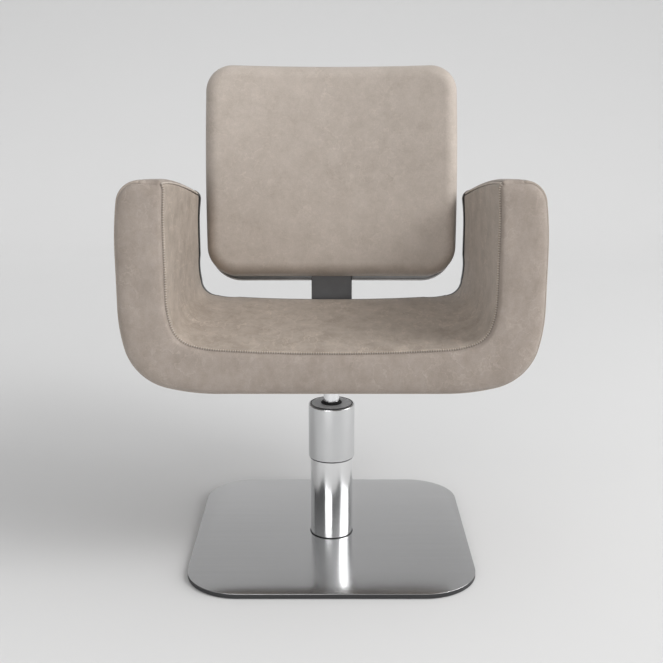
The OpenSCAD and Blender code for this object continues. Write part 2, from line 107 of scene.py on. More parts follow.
def chain(x, z, heading, moves, counts, inset=0.0, ease=1.0):
    """Rows of x, z and heading along a chain, count steps to each move, shifted to its left by
    inset. Below 1, ease packs the last move's steps towards its end."""
    rows, a = [], math.radians(heading)
    x, z = x - inset * math.sin(a), z + inset * math.cos(a)
    for n, ((radius, amount), count) in enumerate(zip(moves, counts)):
        last = n == len(moves) - 1
        for i in range(count + last):
            f = i / count
            if last and ease < 1:
                f = 1 - (ease * (1 - f) + (1 - ease) * (1 - f) ** 2)
            rows.append(advance(x, z, a, radius, amount * f, inset))
        x, z, a = advance(x, z, a, radius, amount, inset)
    return np.array(rows)


def lengths(x, z):
    """Length along an outline at each of its points."""
    return np.concatenate([[0], np.cumsum(np.hypot(np.diff(x), np.diff(z)))])


class Outline:
    """Points of the body's section at the front, with the way each faces, how far it falls with
    the seat and with the arms towards the rear, its front edge's radius and how proud it stands."""

    def __init__(self, x, z, nx, nz, seat, arm, radius, proud):
        self.parts = [np.array(p, float) for p in (x, z, nx, nz, seat, arm, radius, proud)]
        (self.x, self.z, self.nx, self.nz,
         self.seat, self.arm, self.radius, self.proud) = self.parts

    def take(self, index):
        """Some of the points, in the order of the index."""
        return Outline(*[p[index] for p in self.parts])

    def mirrored(self):
        """From the far end on the left, through the middle, to the far end on the right."""
        signs = [-1, 1, -1, 1, 1, 1, 1, 1]
        return Outline(*[np.concatenate([s * p[::-1], p[1:]]) for s, p in zip(signs, self.parts)])


def join(*outlines):
    """One outline after another."""
    return Outline(*[np.concatenate(ps) for ps in zip(*[o.parts for o in outlines])])


FLAT_HALF = HALF_W - travel(0, CORNER)[0]
SEAT_FRONT = BOTTOM + SEAT_RISE
INNER_X = travel(0, SEAT)[0]
ARM_RISE = travel(90, ARM_OUTSIDE)
FLAT_IN = INNER_X - travel(180, ARM_INSIDE)[0]      # where the flat of an arm's top ends
FLAT_OUT = HALF_W + ARM_RISE[0]


def upright(x, low, high, count):
    """Points between a chain's last point and the next one's first, straight up, and how far up
    each of them is."""
    share = np.linspace(0, 1, count + 2)[1:-1]
    return np.column_stack([np.full(count, x), low[-1, 1] + share * (high[0, 1] - low[-1, 1]),
                            np.full(count, math.pi / 2)]), share


def outer_half():
    """From the middle of the underside up to where the flat of the arm's top starts."""
    low = chain(0, BOTTOM, 0, [(0, FLAT_HALF)] + CORNER, LOW_STEPS)
    high = chain(HALF_W, -ARM_RISE[1], 90, ARM_OUTSIDE, [28, 20], ease=0.35)
    high[:, 1] = ARM_TOP + high[:, 1] / math.cos(ARM_SLOPE)
    side, share = upright(HALF_W, low, high, 15)
    rows = np.vstack([low, side, high])
    fall = np.concatenate([np.zeros(len(low)), share, np.ones(len(high))])
    radius = 0.002 + (OUTER_EDGE - 0.002) * np.linspace(0, 1, len(rows)) ** 12
    return Outline(rows[:, 0], rows[:, 1], np.sin(rows[:, 2]), -np.cos(rows[:, 2]),
                   0 * fall, fall, radius, 0 * fall)


def inner_half():
    """From the middle of the seat up to the seam at the arm's inner top edge."""
    low = chain(0, 0, 0, SEAT, LOW_STEPS)
    low[:, 1] = SEAT_FRONT + low[:, 1] / math.cos(SEAT_SLOPE)
    drop = travel(180, ARM_INSIDE)[1]
    radius, turn = ARM_INSIDE[0]
    high = chain(INNER_X, drop, 90, [(ARM_INSIDE[1][0], -ARM_INSIDE[1][1]),
                                     (radius, -(turn - SEAM_TURN))], [32, 8])
    high[:, 1] = ARM_TOP + high[:, 1] / math.cos(ARM_SLOPE)
    side, share = upright(INNER_X, low, high, 23)
    rows = np.vstack([low, side, high])
    seat = np.concatenate([np.ones(len(low)), 1 - share, np.zeros(len(high))])
    fuller = np.clip((np.arange(len(rows)) - len(rows) + 25) / 24, 0, 1) ** 2
    proud = EDGE * (1 - fuller)
    return Outline(rows[:, 0], rows[:, 1], -np.sin(rows[:, 2]), np.cos(rows[:, 2]),
                   seat, 1 - seat, EDGE + 0 * seat, proud)


ACROSS = 34                 # steps across the band


def edge_steps(width):
    """Distances across a strip, closer together near both of its seams."""
    step = np.arange(9)
    near = (0.6 * step + 0.1 * step * step) * 1e-3 * min(1.0, width / 0.06)
    middle = np.linspace(near[-1], width - near[-1], ACROSS - 15)[1:-1]
    return np.concatenate([near, middle, width - near[::-1]])


def arm_flat():
    """Across the top of the arm, from the outer seam to the inner one."""
    radius, flat = ARM_INSIDE[0][0], FLAT_OUT - FLAT_IN
    width = flat + radius * math.radians(SEAM_TURN)
    d = edge_steps(width)
    t = np.maximum(d - flat, 0) / radius
    x = np.where(d <= flat, FLAT_OUT - d, FLAT_IN - radius * np.sin(t))
    z = ARM_TOP - radius * (1 - np.cos(t)) / math.cos(ARM_SLOPE)
    share = d / width
    edge = OUTER_EDGE + (EDGE - OUTER_EDGE) * share + 0.008 * np.sin(np.pi * share) ** 1.3
    return Outline(x, z, -np.sin(t), np.cos(t), 0 * d, 1 + 0 * d, edge, 0 * d), d


OUTER, INNER = outer_half(), inner_half()
TOP, TOP_ACROSS = arm_flat()
LAST = len(OUTER.x) - 1
OUTER_ALONG, INNER_ALONG = lengths(OUTER.x, OUTER.z), lengths(INNER.x, INNER.z)


# ---- surface of the body ----

def seam(d, depth=1.0):
    """Height of the leather at a distance from a seam: a groove between two soft ridges."""
    ridge = 0.0006 * np.exp(-((d - 0.0048) / 0.0026) ** 2)
    return depth * (ridge - SEAM_DEPTH * np.exp(-(d / SEAM_WIDTH) ** 2))


def wrinkle(points, fade):
    """Slight unevenness of leather over foam."""
    out = np.zeros(len(points))
    for i, p in enumerate(points):
        v = Vector(p)
        out[i] = 0.0007 * noise.noise(v * 14) + 0.00035 * noise.noise(v * 37 + Vector((7, 3, 5)))
    return out * fade


def depth_rows(end):
    """Pairs of the front edge's turn and the share of the depth behind it."""
    turns = [(math.radians(a), 0.0) for a in (0, 11, 24, 38, 54, 72)]
    near = np.cumsum([0, 1.2, 1.5, 2, 3, 4, 5.5, 7]) * 1e-3 / end
    tail = 1 - near[:6][::-1] * 0.8
    middle = np.linspace(near[-1], tail[0], 44)[1:-1]
    return turns + [(math.pi / 2, w) for w in np.concatenate([near, middle, tail])]


def shell(outline, rows, end, lift, start=0.0, rear=False):
    """Grid of points on the body: a row for each turn and depth, a column for each outline
    point, raised along the way it faces by lift."""
    turn = np.array([r[0] for r in rows])[:, None]
    share = np.array([r[1] for r in rows])[:, None]
    radius, way = outline.radius[None, :], 1 if rear else -1
    s = radius * (1 - np.cos(turn)) + np.maximum(end - start - radius, 0) * share
    s = end - s if rear else start + s
    arch = ARM_CROWN * np.sin(np.pi * np.clip(s / FULL_DEPTH, 0, 1) ** 0.7)
    z = outline.z - s * (outline.arm * math.tan(ARM_SLOPE) + outline.seat * math.tan(SEAT_SLOPE))
    z = z + arch * outline.arm
    out = outline.proud - radius * (1 - np.sin(turn))
    side = np.sin(turn)
    return np.stack([outline.x + outline.nx * (out + lift * side),
                     FRONT + s + way * lift * np.cos(turn) + 0 * z,
                     z + outline.nz * (out + lift * side)], axis=-1), s


def faces(rows, columns, first=0, flip=False, closed=False):
    """Quads of a grid whose points are counted row by row, from first."""
    out = []
    for r in range(rows - 1):
        for c in range(columns if closed else columns - 1):
            d = (c + 1) % columns
            q = [first + r * columns + c, first + r * columns + d,
                 first + (r + 1) * columns + d, first + (r + 1) * columns + c]
            out.append(q[::-1] if flip else q)
    return out


def stand(name, mesh, body, mat):
    """A mesh as an object of its own, with one material, that rides on a body."""
    mesh.materials.append(mat)
    obj = bpy.data.objects.new(name, mesh)
    bpy.context.scene.collection.objects.link(obj)
    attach(obj, body)
    return obj


def thicken(obj, thickness, even=False):
    """Thickness added on the inner side."""
    thick = obj.modifiers.new("thickness", "SOLIDIFY")
    thick.thickness, thick.offset, thick.use_even_offset = thickness, -1, even


def end_caps(grid, flip=False):
    """The faces that close a grid of rings at its first ring and at its last."""
    rings, columns = grid.shape[:2]
    caps = [list(range(columns))[::-1], list(range((rings - 1) * columns, rings * columns))]
    return [cap[::-1] for cap in caps] if flip else caps


def make(name, grids, body, mat, solid=LEATHER_T, closed=False, extra=()):
    """One mesh from grids of points and any extra faces, welded where they meet."""
    vertices, quads = [], []
    for g, flip in grids:
        quads += faces(g.shape[0], g.shape[1], len(vertices), flip, closed)
        vertices += [tuple(p) for p in g.reshape(-1, 3)]
    mesh = bpy.data.meshes.new(name)
    mesh.from_pydata(vertices, [], quads + list(extra))
    bm = bmesh.new()
    bm.from_mesh(mesh)
    bmesh.ops.remove_doubles(bm, verts=bm.verts, dist=2e-6)
    bmesh.ops.dissolve_degenerate(bm, edges=bm.edges, dist=1e-6)
    bm.to_mesh(mesh)
    bm.free()
    mesh.shade_smooth()
    obj = stand(name, mesh, body, mat)
    if solid:
        thicken(obj, solid)
    return obj


# ---- materials ----

def material(name, colour, roughness, metallic=0.0, **constants):
    """A new material and its shader, with constants set on the shader's own sockets."""
    m = bpy.data.materials.new(name)
    m.use_nodes = True
    shader = m.node_tree.nodes["Principled BSDF"]
    shader.inputs["Base Color"].default_value = (*colour, 1)
    shader.inputs["Roughness"].default_value = roughness
    shader.inputs["Metallic"].default_value = metallic
    for key, value in constants.items():
        shader.inputs[key.replace("_", " ")].default_value = value
    return m, shader


def add(m, kind, **settings):
    """A node with its settings, which are sockets or else properties."""
    node = m.node_tree.nodes.new(kind)
    for key, value in settings.items():
        if key in node.inputs:
            node.inputs[key].default_value = value
        else:
            setattr(node, key, value)
    return node


def link(m, a, b):
    m.node_tree.links.new(a, b)


def grain(m, scale, stretch=(1, 1, 1), detail=3.0, offset=(0, 0, 0)):
    """Noise in the object's own coordinates, scale to a metre, stretched where stretch is small."""
    place = add(m, "ShaderNodeTexCoord")
    mapping = add(m, "ShaderNodeMapping")
    mapping.inputs["Scale"].default_value = stretch
    mapping.inputs["Location"].default_value = offset
    texture = add(m, "ShaderNodeTexNoise", Scale=scale, Detail=detail, Roughness=0.55)
    link(m, place.outputs["Object"], mapping.inputs["Vector"])
    link(m, mapping.outputs["Vector"], texture.inputs["Vector"])
    return texture.outputs["Fac"]


def ramp(m, source, stops):
    """A colour ramp with stops of (place, colour)."""
    node = add(m, "ShaderNodeValToRGB")
    elements = node.color_ramp.elements
    while len(elements) < len(stops):
        elements.new(0.5)
    for element, (place, colour) in zip(elements, stops):
        element.position = place
        element.color = (*colour, 1)
    link(m, source, node.inputs["Fac"])
    return node.outputs["Color"]


def mix(m, a, b, amount, mode="MIX"):
    """Two colours mixed by an amount, which is a number or a socket."""
    node = add(m, "ShaderNodeMix", data_type="RGBA", blend_type=mode)
    if isinstance(amount, float):
        node.inputs[0].default_value = amount
    else:
        link(m, amount, node.inputs[0])
    link(m, a, node.inputs[6])
    link(m, b, node.inputs[7])
    return node.outputs[2]


def between(m, source, low, high):
    """The usual span of a noise, from 0.3 to 0.7, spread from low to high."""
    node = add(m, "ShaderNodeMapRange")
    node.inputs["From Min"].default_value, node.inputs["From Max"].default_value = 0.3, 0.7
    node.inputs["To Min"].default_value, node.inputs["To Max"].default_value = low, high
    link(m, source, node.inputs["Value"])
    return node.outputs["Result"]


def bump(m, shader, source, distance, strength, under=None):
    """Fine relief on the shader, over the relief under it."""
    node = add(m, "ShaderNodeBump", Strength=strength, Distance=distance)
    link(m, source, node.inputs["Height"])
    if under is not None:
        link(m, under, node.inputs["Normal"])
    link(m, node.outputs["Normal"], shader.inputs["Normal"])
    return node.outputs["Normal"]


def grey(value):
    return (value, value, value)


def leather(name, base, stretch=(1, 1, 1), mottle_and_crease_shade=1.0):
    """Taupe nubuck: clouded in warm and cool tints, with a fine grain, and in places fold lines
    painted as a thin painted shade beside a painted highlight.
    """
    m, shader = material(name, base, 0.62, Specular_IOR_Level=0.32, Sheen_Weight=0.18,
                         Sheen_Roughness=0.45)

    def tint(r, g, b):
        return tuple(c * (1 + mottle_and_crease_shade * (t - 1)) for c, t in zip(base, (r, g, b)))

    cloud = ramp(m, grain(m, 30, stretch, 9), [
        (0.34, tint(0.80, 0.785, 0.765)), (0.47, tint(0.97, 0.965, 0.955)),
        (0.56, tint(1.04, 1.045, 1.055)), (0.68, tint(1.20, 1.20, 1.20))])
    warm = ramp(m, grain(m, 95, stretch, 6, (3.1, 1.7, 0.4)), [
        (0.34, tint(0.90, 0.89, 0.875)), (0.50, tint(1, 1, 1)), (0.66, tint(1.10, 1.105, 1.12))])
    fine = ramp(m, grain(m, 420, (1, 1, 1), 4), [(0.3, grey(0.93)), (0.7, grey(1.04))])
    colour = mix(m, mix(m, cloud, warm, 0.5), fine, 1.0, "MULTIPLY")
    # Fold lines painted in colour only, with no relief: a thin darker line of painted shade beside
    # a lighter line of painted highlight. A coarser noise picks where they show.
    crease_shade_and_highlight = ramp(m, grain(m, 34, (1, stretch[1] * 0.6, 1), 6, (5.3, 2.2, 7.1)), [
        (0.44, grey(1.0)), (0.48, grey(1.0 - 0.07 * mottle_and_crease_shade)),
        (0.50, grey(1.0 + 0.20 * mottle_and_crease_shade)), (0.53, grey(1.0))])
    creases_painted_light = mix(m, colour, crease_shade_and_highlight, 1.0, "MULTIPLY")
    where = between(m, grain(m, 13, stretch, 2, (1.9, 8.4, 3.3)), 0.0, 1.0)
    link(m, mix(m, colour, creases_painted_light, where), shader.inputs["Base Color"])
    link(m, between(m, grain(m, 60, stretch), 0.54, 0.70), shader.inputs["Roughness"])
    cell = add(m, "ShaderNodeTexVoronoi", Scale=1150)
    place = add(m, "ShaderNodeTexCoord")
    link(m, place.outputs["Object"], cell.inputs["Vector"])
    soft = bump(m, shader, grain(m, 120, (1, 1, 1), 4), 0.0007, 0.3)
    bump(m, shader, cell.outputs["Distance"], 0.00020, 0.4, soft)
    return m


def metal(name, tone, low, high, scale=40, stretch=(1, 1, 1), scratch=0.00001, **constants):
    """Metal with a little unevenness in its tone and gloss."""
    m, shader = material(name, tone, low, constants.pop("Metallic", 1.0), **constants)
    uneven = grain(m, scale, stretch, 4)
    link(m, ramp(m, uneven, [(0.3, tuple(0.93 * c for c in tone)), (0.7, tone)]),
         shader.inputs["Base Color"])
    link(m, between(m, uneven, low, high), shader.inputs["Roughness"])
    bump(m, shader, grain(m, scale * 9, stretch, 2), scratch, 0.5)
    return m


def coated(name, tone, low, high, scale=600, depth=0.0002, **constants):
    """Paint, rubber or plastic with a fine moulded or sprayed grain."""
    m, shader = material(name, tone, low, **constants)
    link(m, ramp(m, grain(m, 30, detail=4), [(0.3, tuple(0.8 * c for c in tone)), (0.7, tone)]),
         shader.inputs["Base Color"])
    link(m, between(m, grain(m, scale / 3), low, high), shader.inputs["Roughness"])
    bump(m, shader, grain(m, scale, detail=2), depth, 0.4)
    return m


leather_side = leather("leather_side", (0.345, 0.296, 0.255), (1, 0.55, 1.2), 0.7)
leather_band = leather("leather_band", (0.315, 0.268, 0.232), (1, 1, 0.7), 0.9)
leather_seat = leather("leather_seat", (0.362, 0.303, 0.251), (1.15, 0.62, 1.0), 1.6)
# The backrest's copy of the taupe leather has a lighter base tone: painted light, for the extra
# light that its upward-tilted face gets.
leather_back_painted_light = leather("leather_back_painted_light", (0.455, 0.399, 0.352), (1, 1, 1), 0.6)
thread = coated("thread", (0.52, 0.460, 0.402), 0.6, 0.8, 2500, 0.0001, Sheen_Weight=0.3)
# A dark brown cord laid in the seat's seam groove, darker than the leather: painted shade of the
# groove.
seam_shade_paint = coated("seam_groove_shade", (0.27, 0.228, 0.195), 0.6, 0.8, 2500, 0.0001)
vinyl = coated("vinyl", (0.012, 0.012, 0.013), 0.38, 0.52, 1400, 0.0003)
chrome = metal("chrome", (0.87, 0.88, 0.89), 0.10, 0.14, 12, scratch=0.000001)
satin = metal("satin_chrome", (0.68, 0.685, 0.69), 0.22, 0.26, 12, scratch=0.000001)
drawn = metal("drawn_chrome", (0.84, 0.845, 0.85), 0.16, 0.19, 12, scratch=0.000001)
cap_steel = metal("cap_steel", (0.88, 0.88, 0.89), 0.38, 0.46, 40, scratch=0.000002,
                  Metallic=0.3)
brushed = metal("brushed_steel", (0.565, 0.565, 0.570), 0.14, 0.17, 9, (0.25, 30, 1), 0.000002)
plate_paint = coated("plate_paint", (0.028, 0.028, 0.03), 0.42, 0.55)
frame_paint = coated("frame_paint", (0.13, 0.13, 0.135), 0.36, 0.5, 900)
casting = coated("casting", (0.10, 0.10, 0.105), 0.5, 0.7, 420, 0.0005, Metallic=0.6)
bolt_steel = metal("bolt_steel", (0.42, 0.42, 0.43), 0.25, 0.4, 200)
bronze = metal("bronze", (0.60, 0.42, 0.20), 0.25, 0.4, 120)
rubber = coated("rubber", (0.015, 0.015, 0.016), 0.6, 0.8, 900)
plastic = coated("shell_plastic", (0.62, 0.62, 0.625), 0.42, 0.55, 1100, 0.0002)


def plywood():
    """Birch plywood with its rings drawn out along the sheet."""
    m, shader = material("plywood", (0.5, 0.34, 0.18), 0.6)
    rings = ramp(m, grain(m, 18, (1, 0.08, 1), 5), [
        (0.35, (0.36, 0.22, 0.11)), (0.55, (0.52, 0.36, 0.19)), (0.7, (0.62, 0.45, 0.26))])
    link(m, rings, shader.inputs["Base Color"])
    bump(m, shader, grain(m, 300, (1, 0.05, 1), 3), 0.0003, 0.4)
    return m


ply = plywood()


# ---- upholstery of the seat and arms ----

def fade(*distances):
    """0 at the seams, 1 away from them."""
    out = 1.0
    for d in distances:
        out = out * (1 - np.exp(-(d / 0.008) ** 2))
    return out


def drawn_back(outline, s):
    """How far the space between the arms widens towards the rear."""
    corner = 2 * np.abs(outline.nx * outline.nz) * outline.seat
    share = np.clip(s / FULL_DEPTH, 0, 1)
    return REAR_SINK * outline.nx ** 2 * share + REAR_TUCK * corner * share ** 1.5


def cover(name, half, along, crown, mat, depth=1.0):
    """A leather panel that runs from the front seam back to the rear one, and across from the
    seam on one arm's top to the seam on the other's."""
    outline = half.mirrored()
    rows = depth_rows(COVER_DEPTH)
    to_side = along[-1] - np.concatenate([along[::-1], along[1:]])[None, :]
    flat, s = shell(outline, rows, COVER_DEPTH, 0.0)
    turn = np.array([a for a, _ in rows])[:, None]
    to_front = outline.radius * turn + np.maximum(s - outline.radius, 0)
    to_rear = COVER_DEPTH - s
    lift = seam(to_front, depth) + seam(to_side, depth) + seam(to_rear, REAR_SEAM) \
        + crown(outline, s)
    rough = wrinkle(flat.reshape(-1, 3), 1).reshape(s.shape)
    lift = lift + rough * fade(to_front, to_side + 0 * s, to_rear)
    if half is INNER:
        lift = lift - drawn_back(outline, s)
    points = shell(outline, rows, COVER_DEPTH, lift)[0]
    return make(name, [(points, half is OUTER)], "seat", mat)


def side_crown(outline, s):
    """The outer panel swells a little on its upright sides."""
    arch = np.sin(np.pi * np.clip(s / COVER_DEPTH, 0, 1)) ** 0.8
    under_top = np.clip((ARM_TOP - outline.z) / 0.1, 0, 1)
    over_bottom = np.clip((outline.z - BOTTOM) / 0.1, 0, 1)
    return 0.0018 * arch * np.abs(outline.nx) ** 3 * under_top * over_bottom


def seat_crown(outline, s):
    """The seat swells most in its middle, the arms' inner faces only a little."""
    arch = np.sin(np.pi * np.clip(s / COVER_DEPTH, 0, 1)) ** 0.6
    seat = outline.seat * np.clip(outline.nz, 0, 1) ** 2
    middle = np.cos(np.pi / 2 * np.clip(outline.x / INNER_X, -1, 1)) ** 0.5
    return arch * (0.007 * seat * middle + 0.0015 * outline.arm
                   * np.clip((ARM_TOP - outline.z) / 0.06, 0, 1))


outer_cover = cover("outer_leather", OUTER, OUTER_ALONG, side_crown, leather_side, OUTER_SEAM)
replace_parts(outer_cover, "outer_cover")
inner_cover = cover("seat_leather", INNER, INNER_ALONG, seat_crown, leather_seat)
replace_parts(inner_cover, "inner_cover", "seat_foam", "corner_foam_left", "corner_foam_right")


def swell(to_outer, to_inner, height):
    """Height of the band between its two seams."""
    bulge = height * (1 - np.exp(-to_outer / 0.008)) * (1 - np.exp(-to_inner / 0.004))
    return bulge + seam(to_outer, OUTER_SEAM) + seam(to_inner)


def front_face():
    """Grid of the band's flat front, from the middle of the underside to the end of the arm,
    and how far its points are raised."""
    top_up = swell(TOP_ACROSS, TOP_ACROSS[-1] - TOP_ACROSS, TOP_SWELL)
    top_out = TOP.proud - TOP.radius
    line, up = [], []
    for k in range(LAST + 1):
        a = np.array([OUTER.x[k] - OUTER.nx[k] * OUTER.radius[k],
                      OUTER.z[k] - OUTER.nz[k] * OUTER.radius[k]])
        out = INNER.proud[k] - INNER.radius[k]
        b = np.array([INNER.x[k] + INNER.nx[k] * out, INNER.z[k] + INNER.nz[k] * out])
        width = np.hypot(*(b - a))
        d = edge_steps(width)
        line.append(a + (b - a) * (d / width)[:, None])
        front_up = swell(d, width - d, FRONT_SWELL) + 0.001 * np.sin(np.pi * d / width)
        blend = np.clip((k - LAST + 16) / 16, 0, 1)
        blend = blend * blend * (3 - 2 * blend)
        up.append((1 - blend) * front_up + blend * top_up)
    line[LAST] = np.column_stack([TOP.x + TOP.nx * top_out, TOP.z + TOP.nz * top_out])
    line, up = np.array(line), np.array(up)
    return np.stack([line[..., 0], FRONT + 0 * up, line[..., 1]], axis=-1), up


def front_band():
    """The U-shaped front, whose ends turn over the arms' front edges and run back along
    their tops."""
    flat, up = front_face()
    steps = np.arange(ACROSS + 1)
    edge = fade(np.minimum(steps, steps[::-1]) * 0.0015)[None, :]
    near_top = np.clip((LAST - np.arange(LAST + 1)) / 12, 0, 1)[:, None]
    rows = depth_rows(COVER_DEPTH)
    s = shell(TOP, rows, COVER_DEPTH, 0.0)[1]
    lift = swell(TOP_ACROSS, TOP_ACROSS[-1] - TOP_ACROSS, TOP_SWELL)[None, :] \
        + seam(COVER_DEPTH - s, REAR_SEAM)
    top = shell(TOP, rows, COVER_DEPTH, lift)[0]
    fronts, tops = [], []
    for sign in (1, -1):
        side = flat * (sign, 1, 1)
        rough = wrinkle(side.reshape(-1, 3), 1).reshape(up.shape) * edge * near_top
        fronts.append((side - np.stack([0 * up, up + rough, 0 * up], axis=-1), sign > 0))
        tops.append((top * (sign, 1, 1), sign > 0))
    return make("front_band", fronts + tops, "seat", leather_band)


band = front_band()
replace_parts(band, "trim_band", "arm_foam_left", "arm_foam_right")


def rear_panel():
    """Black vinyl over the rear edges and the back of the body."""
    half = join(OUTER, TOP.take(slice(1, -1)), INNER.take(slice(None, None, -1)))
    ring = half.mirrored()
    ring = ring.take(slice(0, len(ring.x) - 1))
    ring.radius[:] = REAR_EDGE
    inside = (ring.nx * ring.x < 0) | (ring.seat > 0)
    upright_share = ring.nx ** 2
    ring.proud[:] = np.where(inside, WRAP_RISE * upright_share
                             - 0.0035 * ring.seat * (1 - upright_share)
                             - drawn_back(ring, FULL_DEPTH), 0.0)
    rows = [(math.pi / 2, w) for w in (1.0, 0.93, 0.86, 0.76, 0.5, 0.2, 0.0)]
    rows += [(math.radians(a), 0.0) for a in (72, 52, 34, 17, 0)]
    s = shell(ring, rows, FULL_DEPTH, 0.0, start=COVER_DEPTH, rear=True)[1]
    lift = WRAP_RISE + np.where(s < FULL_DEPTH - REAR_EDGE, seam(s - COVER_DEPTH), 0.0)
    lift = lift * np.clip((FULL_DEPTH - s) / REAR_EDGE, 0, 1) ** 0.5
    wrap = shell(ring, rows, FULL_DEPTH, lift, start=COVER_DEPTH, rear=True)[0]
    edge = wrap[-1]
    middle = len(OUTER.x) - 1 + len(TOP.x) - 1 + len(INNER.x) - 1
    outer = edge[middle:middle + LAST + 1]
    top = edge[middle + LAST:middle + LAST + ACROSS + 1]
    inner = np.concatenate([edge, edge])[middle + LAST + ACROSS:][:LAST + 1][::-1]
    share = np.linspace(0, 1, ACROSS + 1)[None, :, None]
    flat = outer[:, None, :] * (1 - share) + inner[:, None, :] * share
    flat[-1] = top
    cover_wrap = make("rear_wrap", [(wrap, False)], "seat", vinyl, closed=True)
    make("rear_face", [(flat, False), (flat * (-1, 1, 1), True)], "seat", vinyl)
    return cover_wrap


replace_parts(rear_panel(), "rear_cover")


# ---- stitches ----

def unit(vectors):
    return vectors / np.linalg.norm(vectors, axis=1)[:, None]


def threads(name, vertices, quads, mat):
    """Fine work on the seat's leather, as one smooth mesh."""
    mesh = bpy.data.meshes.new(name)
    mesh.from_pydata([tuple(v) for v in vertices], [], quads)
    mesh.shade_smooth()
    return stand(name, mesh, "seat", mat)


def stitches(name, path, facing, length=0.0042, radius=0.0008, around=6):
    """A row of short thread stitches across a path that lies on the leather."""
    step = np.linalg.norm(np.diff(path, axis=0), axis=1)
    run = np.concatenate([[0], np.cumsum(step)])
    centres = np.arange(STITCH_PITCH, run[-1] - STITCH_PITCH, STITCH_PITCH)
    half = STITCH_PITCH / 2

    def at(where, values):
        return np.stack([np.interp(where, run, values[:, i]) for i in range(3)], -1)

    across = unit(at(centres + half, path) - at(centres - half, path))
    up = at(centres, facing)
    up = unit(up - across * np.sum(up * across, 1)[:, None])
    along = np.cross(up, across)
    rings = [(-0.5, 0.25, -0.5), (-0.32, 0.85, 0.1), (0, 1, 0.35), (0.32, 0.85, 0.1),
             (0.5, 0.25, -0.5)]         # place along the stitch, thickness and rise
    vertices, quads = [], []
    for c, a, u, v in zip(at(centres, path), along, up, across):
        first = len(vertices)
        for t, r, lift in rings:
            for i in range(around):
                b = 2 * math.pi * i / around
                vertices.append(c + a * t * length + u * radius * (lift + r * math.cos(b))
                                + v * radius * r * math.sin(b))
        quads += faces(len(rings), around, first, closed=True)
        quads.append([first + i for i in range(around)][::-1])
        quads.append([first + (len(rings) - 1) * around + i for i in range(around)])
    return threads(name, vertices, quads, thread)


def cord(name, path, radius, mat, around=6):
    """A thin round cord along a path."""
    along = unit(np.gradient(path, axis=0))
    one = unit(np.cross(along, (0, 1, 0.2)))
    two = np.cross(along, one)
    b = 2 * np.pi * np.arange(around) / around
    points = path[:, None] + radius * (one[:, None] * np.cos(b)[None, :, None]
                                       + two[:, None] * np.sin(b)[None, :, None])
    return threads(name, points.reshape(-1, 3), faces(len(path), around, closed=True), mat)


def inner_seam_stitches():
    """Cross stitches over the seam between the seat leather and the front band, and the dark
    cord they hold down in its groove, a painted shade of the groove."""
    def both(part):
        return np.concatenate([part[::-1] * (-1, 1, 1), part[1:]])

    half_way = [(math.pi / 4, 0.0)]
    front = shell(INNER, [(0.0, 0.0)], COVER_DEPTH, 0.0)[0][0, :-1]
    low = shell(INNER, half_way, COVER_DEPTH, 0.0)[0][0, :-1]
    facing = shell(INNER, half_way, COVER_DEPTH, STITCH_RISE)[0][0, :-1] - low
    arm_seam = INNER.take(slice(-1, None))
    rows = [(math.pi / 2, w) for w in np.linspace(0, 0.985, 90)]
    top = shell(arm_seam, rows, COVER_DEPTH, 0.0)[0][:, 0]
    top_facing = shell(arm_seam, rows, COVER_DEPTH, STITCH_RISE)[0][:, 0] - top
    path = both(np.concatenate([0.6 * low + 0.4 * front, top]))
    groove = both(np.concatenate([front, top]))
    facing = both(np.concatenate([facing, top_facing * 0.3]))
    # The dark cord in the groove paints the groove's shade.
    cord("seat_seam_shade_cord", groove - facing * 0.6, CORD_R, seam_shade_paint)
    stitches("seat_stitches", path + facing * 0.55, facing)


inner_seam_stitches()


# ---- backrest ----

BACK_TILT = math.radians(10)
BACK_CURVE = 1.050
COVER_WRAP = 0.0564         # depth of the leather's rear edge behind the curved face
back_low, back_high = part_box("back_cover")
BACK_HALF = back_high.x + 0.0030        # the leather stands a little proud of the shell
BACK_BELOW = -0.0020        # where its lower edge lies, counted down from the shell's
BACK_ABOVE = 0.0060         # and its upper edge, counted up
BACK_H = 0.426 + BACK_BELOW + BACK_ABOVE
BACK_BOTTOM_R, BACK_TOP_R, BACK_SIDE_R = 0.060, 0.055, 6.0
BACK_EDGE_R = 0.027         # rounding of the face's edge
BACK_SEAM = 0.0305          # depth of the seam on its side band
BACK_CROWN = 0.0055
back_sag = BACK_CURVE - math.sqrt(BACK_CURVE ** 2 - back_high.x ** 2)
BACK_ORIGIN = Vector((
    0, back_low.y + back_sag * math.cos(BACK_TILT) - BACK_BELOW * math.sin(BACK_TILT),
    back_low.z + COVER_WRAP * math.sin(BACK_TILT) - BACK_BELOW * math.cos(BACK_TILT)))


def back_outline(inset):
    """Closed outline of the backrest, from the middle of its lower edge round to the right."""
    turn = 2 * math.degrees(math.asin((BACK_H - BACK_BOTTOM_R - BACK_TOP_R) / 2 / BACK_SIDE_R))
    quarter = 90 - turn / 2
    half_side = travel(0, [(BACK_BOTTOM_R, quarter), (BACK_SIDE_R, turn / 2)])[0]
    moves = [(0, BACK_HALF - half_side), (BACK_BOTTOM_R, quarter), (BACK_SIDE_R, turn),
             (BACK_TOP_R, quarter)]
    run = chain(0, 0, 0, moves, [44, 26, 72, 24], inset)
    top = chain(run[-1, 0], run[-1, 1], 180, [(0, run[-1, 0])], [44])
    half = np.vstack([run[:-1], top])
    left = half[1:-1][::-1] * (-1, 1, 1)
    return np.vstack([half, left])[:, :2]


def to_back(x, t, z):
    """World points from the backrest's own: across, behind its curved face, up its slope."""
    y = np.sqrt(BACK_CURVE ** 2 - x ** 2) - BACK_CURVE + t
    return np.stack([x, BACK_ORIGIN.y + y * math.cos(BACK_TILT) + z * math.sin(BACK_TILT),
                     BACK_ORIGIN.z - y * math.sin(BACK_TILT) + z * math.cos(BACK_TILT)], -1)


